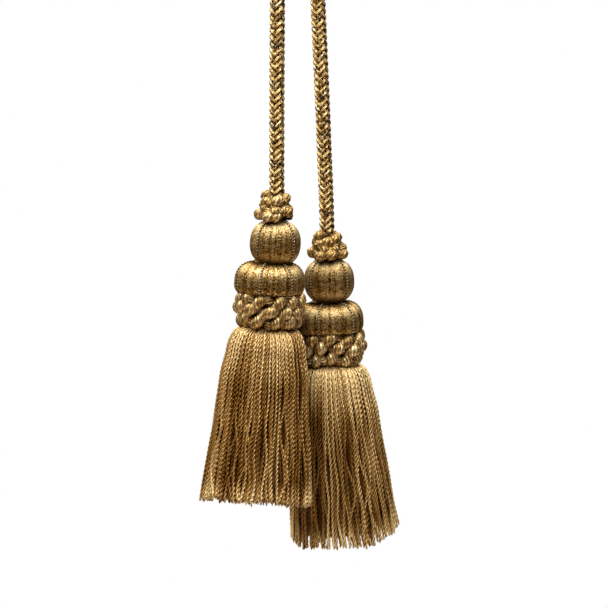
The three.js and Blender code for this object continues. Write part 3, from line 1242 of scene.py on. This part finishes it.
@dataclass
class Fringe:
    """Skirt of two-ply strands that hang from the neck and flare to an uneven hem.

    It lies on its own side, 1 or -1, of the upright plane where the two skirts meet, which
    stands at `contact` degrees. profile is its radius at depths under the shoulder. lift is
    painted light added to the yarn's tone, crown a painted highlight added near the neck
    and cut_light painted light added near the cut, and contact_shade is painted shadow
    taken off near the other skirt. The strands draw together over the depths `drawn`, come
    out to the surface over `surfacing`, lose the crown over `neck_highlight_span`, have their full size
    at `filled` and take the painted light near the cut over `lit`, up from the cut.
    At the neck they lie up to neck_inset deep, little and much by turns.
    """

    side: int
    seed: int
    reach: float
    turn: float
    sway: Pair
    hem: Waves
    lift: float
    neck_highlight: float
    hang: Hang = field(init=False)
    shoulder: float = field(init=False)
    full_length: float = 78.0
    sway_power: float = 1.6
    clumps: Waves = ((9, 0.6, 0.0), (14, 0.4, 1.0))
    clump_depth: float = 0.02
    strand: float = 1.3
    ply_pitch: float = 4.4
    gather: float = 0.13
    contact: float = 42.0
    soften: float = 1.2
    contact_shade: float = 0.5
    contact_fade: float = 4.5
    furrow: float = 0.36
    drawn: Pair = (4.0, 60.0)
    surfacing: Pair = (8.0, 50.0)
    neck_highlight_span: Pair = (2.0, 30.0)
    lit: Pair = (12.0, 2.0)
    filled: float = 42.0
    neck_size: float = 0.84
    neck_inset: Pair = (0.3, 0.75)
    size_spread: Pair = (0.9, 1.08)
    pitch_spread: Pair = (0.92, 1.08)
    tone_spread: float = 0.15
    cut_spread: float = 0.22
    cut_longer: float = 0.7
    longer_share: float = 0.07
    wander: float = 0.5
    wander_rate: Pair = (0.07, 0.22)
    stray_share: float = 0.12
    lean_spread: float = 0.5
    start_spread: float = 0.3
    wave: float = 0.45
    wave_rate: float = 0.08
    cut_light: float = 0.3
    cut_length: float = 2.5
    cut_warm: float = 0.4
    cut_sizes: Pair = (0.9, 0.6)
    tip: float = 0.4
    core_inset: float = 4.2
    core_foot: float = 5.0
    core_clearance: float = 4.0
    profile: Curve = (
        (-4.0, 7.0), (0.0, 12.2), (1.5, 14.7), (4.7, 16.8), (12.8, 18.7), (21.0, 20.4),
        (30.0, 21.2), (41.0, 22.2), (52.0, 23.5), (62.0, 24.5), (71.0, 25.3), (78.0, 26.0),
    )

    @property
    def length(self) -> float:
        """The skirt's own length."""
        return self.reach * self.full_length

    def surface(self, below: Array, azimuth: Array, inset: Values, clearance: float) -> Array:
        """Returns points of the hanging skirt, in the model's frame.

        The radius follows the profile less the inset, swells by 2% with the clumps, and
        the whole sways by a power of the depth. Then every point is pressed softly to its
        own side of the contact plane: its distance d from the plane becomes
        clearance + s * log(1 + exp((d - clearance) / s)).

        Args:
            below: Depth under the shoulder.
            azimuth: Angle round the tassel's axis.
            inset: How deep the points lie under the surface.
            clearance: How far from the contact plane they stay.

        Returns:
            The points, as wide as below and azimuth together.
        """
        knots, widths = np.array(self.profile).T
        part = np.clip(below / self.length, 0, 1)
        clump = wave_sum(self.clumps, azimuth + self.turn)
        swell = 1 + self.clump_depth * np.sqrt(part) * (clump - 1)
        radius = smooth_curve(below, self.reach * knots, widths) * swell - inset
        drop = wave_sum(self.hem, azimuth) * part**4
        points = polar(azimuth, radius, self.shoulder - below + drop)
        sway = np.array([*self.sway, 0.0])
        slope = self.sway_power * part ** (self.sway_power - 1) / self.length
        points[..., 2] += slope * (points @ sway)
        points = self.hang.world(points + (part**self.sway_power)[..., None] * sway)
        inside = points @ self.contact_normal()
        kept = clearance + self.soften * np.logaddexp(0, (inside - clearance) / self.soften)
        return points + (kept - inside)[..., None] * self.contact_normal()

    def build(self, name: str) -> None:
        """Makes the skirt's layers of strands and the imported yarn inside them.

        Args:
            name: The tassel's name.
        """
        for part, layers in LAYERS.items():
            shells = [self.strands(layer) for layer in layers]
            if part == "heart":
                shells.append(self.core())
            node = f"{name}_skirt" if part == "outer" else ""
            make_piece(f"{name}_fringe_{part}", joined(*shells), Slot.FRINGE, node)

    def contact_normal(self) -> Array:
        """Returns the direction from the contact plane to this skirt."""
        return self.side * polar(math.radians(self.contact))

    def strand_section(self, thick: bool) -> tuple[Array, Array]:
        """Works out a two-ply section of radius 1.

        Args:
            thick: Whether it has six sides rather than four.

        Returns:
            The section, and what its sides add to the tone: a painted highlight on the ply crests
            and painted shade in the two furrows.
        """
        if thick:
            bearing, reach = np.radians([0, 56, 124, 180, 236, 304]), np.array([1, 0.74, 0.74] * 2)
            tone = np.array([0.12, -self.furrow, -self.furrow] * 2)
        else:
            bearing, reach = np.radians([0, 90, 180, 270]), np.array([1, 0.6] * 2)
            tone = np.array([0.1, -0.3] * 2)
        return polar(bearing, reach)[:, :2], tone

    def strands(self, layer: StrandLayer) -> Shell:
        """Makes one layer of strands as closed two-ply tubes.

        The strands start evenly round the neck and draw together into clumps as they
        fall: azimuth = start - gather * g * (sum of share * sin(waves * a + phase) / waves),
        with g growing down the skirt. Each also wanders a little, and a few stray further
        or are cut longer.

        Args:
            layer: The layer's sizes.

        Returns:
            The strands as one shell.
        """
        rng = np.random.default_rng(self.seed + 7 * layer.strands)
        count = layer.strands
        one = (count, 1)
        rings = max(round((self.length - layer.start) / self.ply_pitch * layer.steps), 6)
        extra = rng.normal(0, self.cut_spread, one)
        extra = extra + self.cut_longer * (rng.random(one) > 1 - self.longer_share)
        below = layer.start + (self.length + extra - layer.start) * np.linspace(0, 1, rings)
        spacing = TAU / count
        base = spacing * (np.arange(count)[:, None] + self.start_spread * rng.uniform(-1, 1, one))
        grow = smooth_step(below, *self.drawn)
        turned = base + self.turn
        pull = sum(share * np.sin(waves * turned + phase) / waves for waves, share, phase in self.clumps)
        wander = np.sin(below * rng.uniform(*self.wander_rate, one) + rng.uniform(0, TAU, one))
        stray = self.wander + (rng.random(one) > 1 - self.stray_share)
        lean = rng.normal(0, self.lean_spread, one) * grow
        azimuth = base - self.gather * grow * pull + spacing * (stray * grow * wander + lean)
        little, much = self.neck_inset
        hidden = np.where(np.arange(count) % 2, much, little * rng.random(count))[:, None]
        inset = layer.inset + hidden * (1 - smooth_step(below, *self.surfacing))
        swing = np.sin(below * self.wave_rate + rng.uniform(0, TAU, one))
        inset = inset + self.wave * grow * (1 + swing)
        full = self.neck_size + (1 - self.neck_size) * smooth_step(below, 0, self.filled)
        size = self.strand / 2 * full * rng.uniform(*self.size_spread, one)
        lines = self.surface(below, azimuth, inset + size, layer.clearance)
        pitch = self.ply_pitch * rng.uniform(*self.pitch_spread, one)
        angle = TAU * below / pitch + rng.uniform(0, TAU, one)
        outline, painted_ply_shading = self.strand_section(layer.thick)
        ending = np.ones(rings)
        ending[-2:] = self.cut_sizes
        section = turned_section(outline, angle) * (size * ending)[..., None, None]
        # lift is painted light added to the whole skirt.
        tone = layer.tone + self.lift + rng.normal(0, self.tone_spread, one)
        tone = tone + 0.08 * np.sin(below * 0.13 + base * 5)
        # crown is a painted highlight near the neck.
        tone = tone + self.neck_highlight * (1 - smooth_step(below, *self.neck_highlight_span))
        # cut_light is painted light near the cut.
        tone = tone + self.cut_light * smooth_step(below, *(self.length - up for up in self.lit))
        # Painted shadow where the other skirt is near.
        away = lines @ self.contact_normal()
        tone = tone - self.contact_shade * np.exp(-away / self.contact_fade)
        near_cut = smooth_step(below, self.length - self.cut_length, self.length)
        course = swept(lines, self.hang.turned(polar(azimuth)), section, tip=self.tip)
        warm = self.cut_warm * near_cut[..., None]
        return tubes(*course, below / self.ply_pitch, tone[..., None] + painted_ply_shading, warm)

    def core(self) -> Shell:
        """Makes the body of packed yarn that fills the skirt under its strands, painted dark as shade.

        Returns:
            The body, closed at both ends.
        """
        below = np.concatenate([np.linspace(self.length - 4, 2, 12), [-3.0, -14.0]])[:, None]
        inset = np.full_like(below, self.core_inset)
        inset[0] = self.core_foot
        inset[-2:] = 2.0
        points = self.surface(below, around(40), inset, self.core_clearance)
        below_foot, axis = np.array([self.length - self.core_foot]), np.array([0.0])
        foot = self.surface(below_foot, axis, 24.0, self.core_clearance)
        top = self.hang.world(np.array([[0.0, 0.0, self.shoulder + 14.0]]))
        # Its low tone and share of the dark colour for crevices are painted shade.
        return body(points, np.concatenate([foot, top]), -below[:, 0], 0.2, 0.25)


@dataclass
class Tassel:
    """One tassel: ruff, ball, drum, band and skirt on one axis under the cord.

    Lengths are in millimetres, tilt and marks in degrees, and turns in radians.
    """

    name: str
    tilt: float
    seed: int
    skirt: Fringe
    ruff_radius: float
    ruff_turn: float
    ball_marks: tuple[float, ...]
    drum_marks: tuple[float, ...]
    dish_depth: float
    band_height: float
    band_turn: float
    shift_ruff: float
    shift_ball: float
    shift_drum: float
    ruff_height: float = 12.5
    ruff_cord: float = 4.1
    ball_radius: float = 11.3
    ball_height: float = 20.7
    ball_stretch: float = 0.4
    ball_power_top: float = 2.42
    ball_power_foot: float = 2.3
    drum_radius: float = 15.5
    crest_radius: float = 8.3
    shoulder_height: float = 8.0
    side_height: float = 2.4
    foot_width: float = 6.0
    foot_height: float = 4.6
    band_cord: float = 4.5
    band_over_drum: float = 2.9

    def __post_init__(self) -> None:
        """Works out the heights on the axis, from the top down."""
        self.ball_top = -self.ruff_height - GAP
        self.ball_middle = self.ball_top - self.ball_height / 2
        self.drum_crest = self.ball_top - self.ball_height - GAP + self.dish_depth
        self.side_top = self.drum_crest - self.shoulder_height
        self.side_foot = self.side_top - self.side_height
        self.drum_foot = self.side_foot - self.foot_height
        self.band_top = self.drum_foot - GAP

    def build(self) -> None:
        """Makes every piece of the tassel."""
        self.hang = Hang.from_ball(self.name, self.tilt, self.shift_ball, self.ball_middle)
        ball = Winding(BALL, *self.ball_profile(), self.ball_marks, self.seed)
        drum = Winding(DRUM, *self.drum_profile(), self.drum_marks, self.seed)
        self.add("plaited", "ruff", self.ruff(), self.shift_ruff, Slot.PLAIT)
        self.add("wound", "ball", ball.shell(), self.shift_ball, Slot.SATIN)
        self.add("wound", "drum", drum.shell(), self.shift_drum, Slot.SATIN)
        self.add("plaited", "band", self.band(), 0.0, Slot.PLAIT)
        self.skirt.hang = self.hang
        self.skirt.shoulder = self.band_top - self.band_height - GAP
        self.skirt.build(self.name)

    def add(self, work: str, part: str, shell: Shell, shift: float, slot: Slot) -> None:
        """Moves a shell off the axis by the shift and into the model, as its part's piece."""
        shell.points = self.hang.world(shell.points + np.array([shift, 0.0, 0.0]))
        make_piece(f"{self.name}_{work}_{part}", shell, slot, f"{self.name}_{part}")

    def ruff(self) -> Shell:
        """Makes the ruff: a cone of thick twisted cord round a filling painted warm and dark as shade.

        Returns:
            The ruff, on the tassel's axis.
        """
        plait = Plait(
            leads=4, bights=7, cord=self.ruff_cord, turn=self.ruff_turn, seed=self.seed,
            middle=-0.4 - self.ruff_height / 2, half=(self.ruff_height - 0.6 - self.ruff_cord) / 2,
            top_radius=0.31 * self.ruff_radius, foot_radius=self.ruff_radius - 0.98 * self.ruff_cord,
            weave=0.7, lean=0.4, knob=0.8, uneven=0.8,
        )
        # The filling's low tone and large share of the dark colour for crevices are painted shade.
        radius = np.array([0.42, 0.55, 0.45, 0.3]) * self.ruff_radius
        low = self.ball_top + self.ball_stretch + 0.1
        height = low + (self.ruff_height - 1.9) * np.array([0, 0.2, 0.8, 1])
        return joined(plait.shell(), lathe(radius, height, 24, tone=0.25, warm=0.8))

    def band(self) -> Shell:
        """Makes the band: a ring of thick twisted cord round the skirt's neck.

        Returns:
            The band, on the tassel's axis.
        """
        half = (self.band_height + self.band_over_drum + 0.4 - self.band_cord) / 2
        plait = Plait(
            leads=3, bights=11, cord=self.band_cord, turn=self.band_turn, seed=self.seed + 1,
            middle=self.band_top - (self.band_height - self.band_over_drum) / 2, half=half,
            top_radius=12.6, foot_radius=11.6,
            weave=0.1, lean=1.1, knob=0.5, uneven=0.6, shade=0.65,
        )
        height = self.band_top - self.band_height * np.array([0.95, 0.9, 0.1, 0.05])
        # The filling's low tone and share of the dark colour for crevices are painted shade between the
        # lumps.
        filling = lathe(np.array([8.0, 10.5, 10.5, 8.0]), height, 32, tone=0.1, warm=0.6)
        return joined(plait.shell(), filling)

    def ball_profile(self) -> tuple[Array, Array]:
        """Works out the ball's profile from its foot up.

        It follows |r / R|^p + |z / H|^p = 1, with p and H changing at the waist.

        Returns:
            Its radius and its height at each row.
        """
        angle = np.pi * (np.linspace(0.02, 0.98, 25) - 0.5)
        power = 2 / np.where(angle > 0, self.ball_power_top, self.ball_power_foot)
        half = self.ball_height / 2 + np.where(angle > 0, self.ball_stretch, 0)
        radius = self.ball_radius * np.cos(angle) ** power
        return radius, self.ball_middle + half * np.sign(angle) * np.abs(np.sin(angle)) ** power

    def drum_profile(self) -> tuple[Array, Array]:
        """Works out the drum's profile: foot, lower round, side, shoulder and dish.

        Returns:
            Its radius and its height at each row.
        """
        flat, crest = self.drum_radius - self.foot_width, self.crest_radius
        quarter = np.linspace(0, np.pi / 2, 8)
        part = np.linspace(0, 1, 6)[1:-1]
        radius = (
            [1.0, 0.6 * flat],
            flat + self.foot_width * np.sin(quarter),
            [self.drum_radius] * 2,
            crest + (self.drum_radius - crest) * np.cos(quarter),
            crest * (1 - part),
        )
        height = (
            [self.drum_foot] * 2,
            self.side_foot - self.foot_height * np.cos(quarter),
            self.side_foot + self.side_height * np.array([0.33, 0.67]),
            self.side_top + self.shoulder_height * np.sin(quarter),
            self.drum_crest - self.dish_depth * (2 - part) * part,
        )
        return np.concatenate(radius), np.concatenate(height)


FRONT = Tassel(
    name="front", tilt=4.0, seed=11,
    skirt=Fringe(
        side=-1, seed=11, reach=1.0, turn=0.4, sway=(0.3, -7.0), lift=0.02, neck_highlight=0.36,
        hem=((1, 0.8, 1.6), (5, 0.5, 0.3), (11, 0.5, 2.0)),
    ),
    ruff_radius=9.6, ruff_turn=0.3,
    ball_marks=(-44.0, 47.0, 137.0, 222.0),
    drum_marks=(-76.0, -15.0, 40.0, 100.0, 160.0, 220.0),
    dish_depth=2.1, band_height=13.9, band_turn=0.0,
    shift_ruff=-0.3, shift_ball=0.7, shift_drum=-0.7,
)
BACK = Tassel(
    name="back", tilt=-2.0, seed=29,
    skirt=Fringe(
        # Its larger lift and crown are painted light on the back skirt.
        side=1, seed=29, reach=1.01, turn=1.3, sway=(3.2, 8.0), lift=0.15, neck_highlight=0.6,
        hem=((1, 0.4, 1.4), (4, 0.6, 1.1), (9, 0.5, 0.2)),
    ),
    ruff_radius=10.5, ruff_turn=1.1,
    ball_marks=(-48.0, 45.0, 134.0, 225.0),
    drum_marks=(-78.0, -18.0, 44.0, 103.0, 162.0, 221.0),
    dish_depth=1.1, band_height=12.9, band_turn=0.25,
    shift_ruff=0.0, shift_ball=0.1, shift_drum=-0.6,
)

FINISHES = {
    Slot.BRAID: (
        YarnFinish(
            "braid_yarn", (0.05, 0.022, 0.005), (0.32, 0.18, 0.045), (0.66, 0.47, 0.19),
            roughness=0.36, fibres=12.0, speckle=2.6, speckle_scale=900.0, fleck=0.6,
        ),
        FoilFinish("braid_foil", grain=3.0, grain_scale=1800.0),
    ),
    Slot.PLAIT: (
        YarnFinish(
            "plait_yarn", (0.04, 0.015, 0.002), (0.29, 0.16, 0.036), (0.78, 0.62, 0.35),
            roughness=0.42, fibres=12.0, speckle=1.2, speckle_scale=2000.0,
        ),
    ),
    Slot.SATIN: (
        WoundFinish("satin_thread", (0.05, 0.020, 0.002), (0.28, 0.137, 0.016), (0.50, 0.395, 0.205)),
        FoilFinish("winding_foil"),
    ),
    Slot.FRINGE: (
        YarnFinish(
            "fringe_yarn", (0.072, 0.020, 0.0005), (0.315, 0.140, 0.012), (0.84, 0.62, 0.29),
            roughness=0.55, metallic=0.6, fibres=4.0,
        ),
    ),
}


@cache
def materials(slot: Slot) -> list[Material]:
    """Returns a slot's materials, and makes them when they are first asked for."""
    return [finish.build() for finish in FINISHES[slot]]


def main() -> None:
    """Builds the studio, the cord and both tassels."""
    logging.basicConfig(level=logging.INFO, format="%(name)s: %(message)s")
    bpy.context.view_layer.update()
    Studio().build()
    BraidedCord().build()
    for tassel in (FRONT, BACK):
        tassel.build()


if __name__ == "__main__":
    main()
